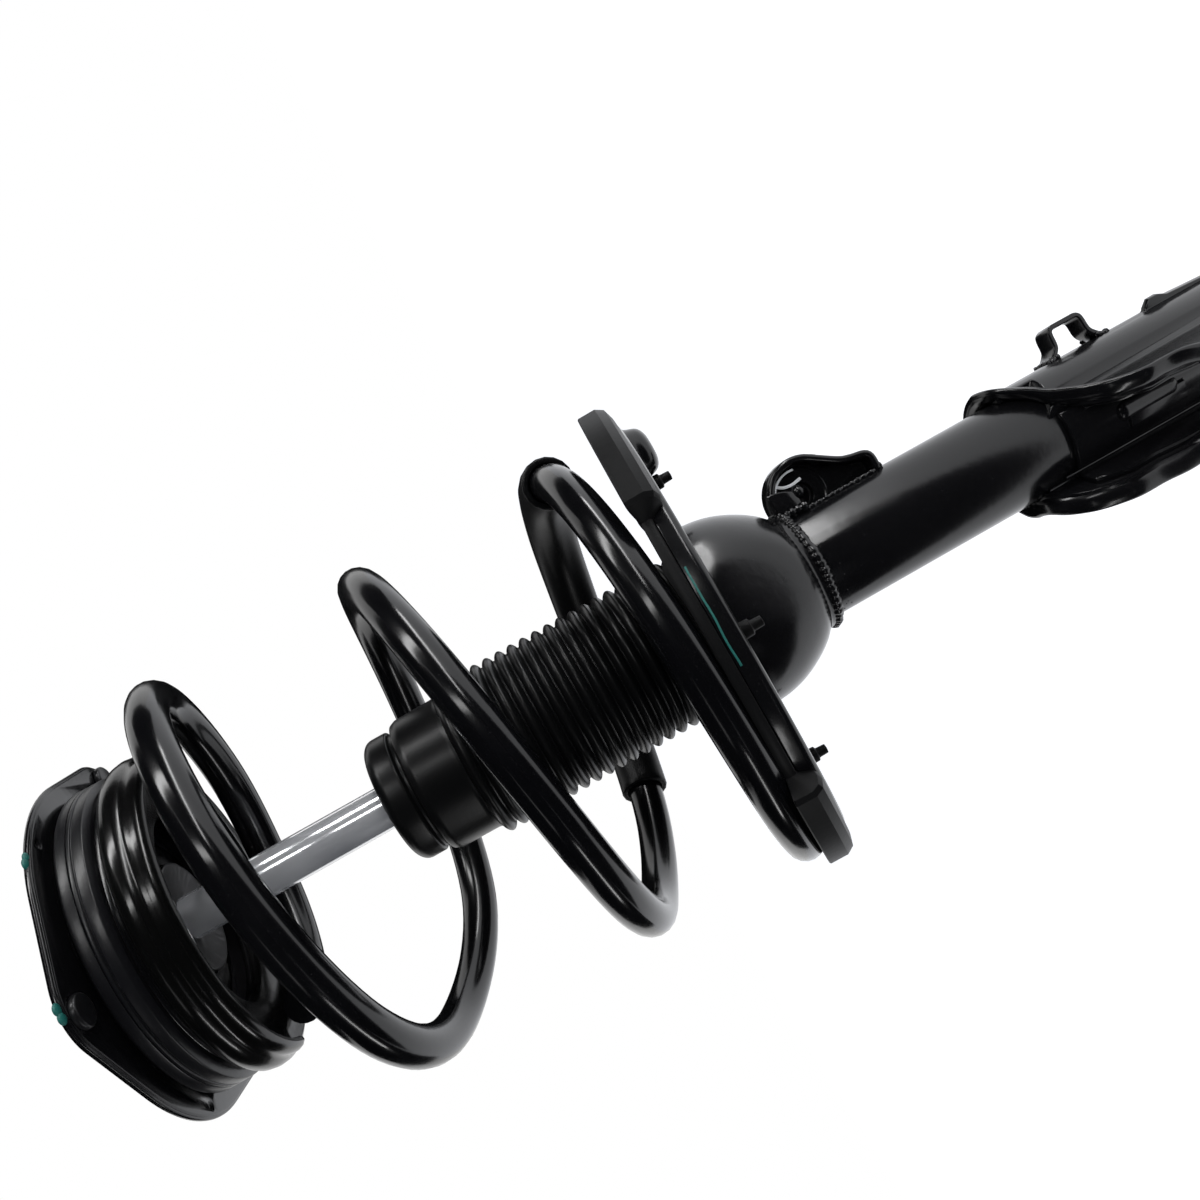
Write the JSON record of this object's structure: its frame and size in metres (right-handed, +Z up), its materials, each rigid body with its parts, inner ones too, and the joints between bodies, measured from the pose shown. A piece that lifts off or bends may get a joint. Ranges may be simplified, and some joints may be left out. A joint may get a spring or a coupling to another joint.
{
  "type": "strut assembly",
  "caption": "Front suspension strut with coil spring, ribbed dust boot, top mount with steering bearing, tilted lower spring seat and a two-bolt knuckle clevis.",
  "frame": {"origin": "centre of the circle of body bolts, on the top face of the mount plate", "axes": "+Z runs up the strut axis, out of the mount plate toward the body; the knuckle clevis opens to -Y and its two bolts run along X"},
  "size_m": [0.2296, 0.2243, 0.6554],
  "materials": {
    "black_paint": "gloss",
    "spring_paint": "satin",
    "dark_steel": "satin",
    "bare_steel": "satin",
    "chrome": "polished",
    "bronze": "satin",
    "rubber": "matte",
    "boot_rubber": "satin",
    "bearing_plastic": "matte",
    "cage_plastic": "matte",
    "seal_plastic": "matte",
    "foam": "matte"
  },
  "bodies": {
    "top_mount": {"mount_plate": "black_paint", "mount_nuts": "dark_steel", "bush_cup": "black_paint", "bush_rubber": "rubber", "bush_sleeve": "bare_steel", "rod_washer_lower": "dark_steel", "rod_washer_upper": "bare_steel", "rod_nut": "bare_steel", "bearing_upper_race": "bearing_plastic", "piston_rod": "chrome", "piston": "bare_steel", "piston_ring": "seal_plastic", "piston_nut": "bare_steel", "rebound_stop": "rubber", "rebound_collar": "bare_steel"},
    "bearing_cage_ring": {"bearing_balls": "bare_steel", "bearing_cage": "cage_plastic"},
    "upper_seat": {"bearing_lower_race": "bearing_plastic", "upper_spring_seat": "black_paint", "upper_isolator": "rubber", "coil_spring": "spring_paint", "spring_sleeve": "rubber"},
    "strut_body": {"strut_tube": "black_paint", "base_cap": "black_paint", "bump_cap": "dark_steel", "rod_seal": "rubber", "rod_guide": "bare_steel", "guide_bush": "bronze", "inner_cylinder": "bare_steel", "base_valve": "bare_steel", "lower_spring_seat": "black_paint", "seat_bell": "black_paint", "seat_weld": "black_paint", "lower_isolator": "rubber", "dust_boot": "boot_rubber", "bump_stop": "foam", "stabiliser_bracket": "black_paint", "link_nut": "dark_steel", "hose_bracket": "black_paint", "knuckle_bracket_outer": "black_paint", "knuckle_bracket_inner": "black_paint"}
  },
  "joints": [
    {"name": "steering_swivel", "type": "hinge", "parent": "top_mount", "child": "upper_seat", "pos_m": [0, 0, -0.01315], "axis": [0, 0, 1], "range_deg": [-40, 40]},
    {"name": "ball_ring_turn", "type": "hinge", "parent": "top_mount", "child": "bearing_cage_ring", "pos_m": [0, 0, -0.01315], "axis": [0, 0, 1], "range_deg": [-20, 20]},
    {"name": "strut_compression", "type": "slide", "parent": "upper_seat", "child": "strut_body", "axis": [0, 0, 1], "range_m": [0, 0.13], "stiffness_N_per_m": 27000, "springref_m": -0.03, "deforming": ["coil_spring", "spring_sleeve", "dust_boot", "bump_stop"]}
  ],
  "couplings": [
    {"joint": "ball_ring_turn", "follows": "steering_swivel", "ratio": 0.5}
  ]
}
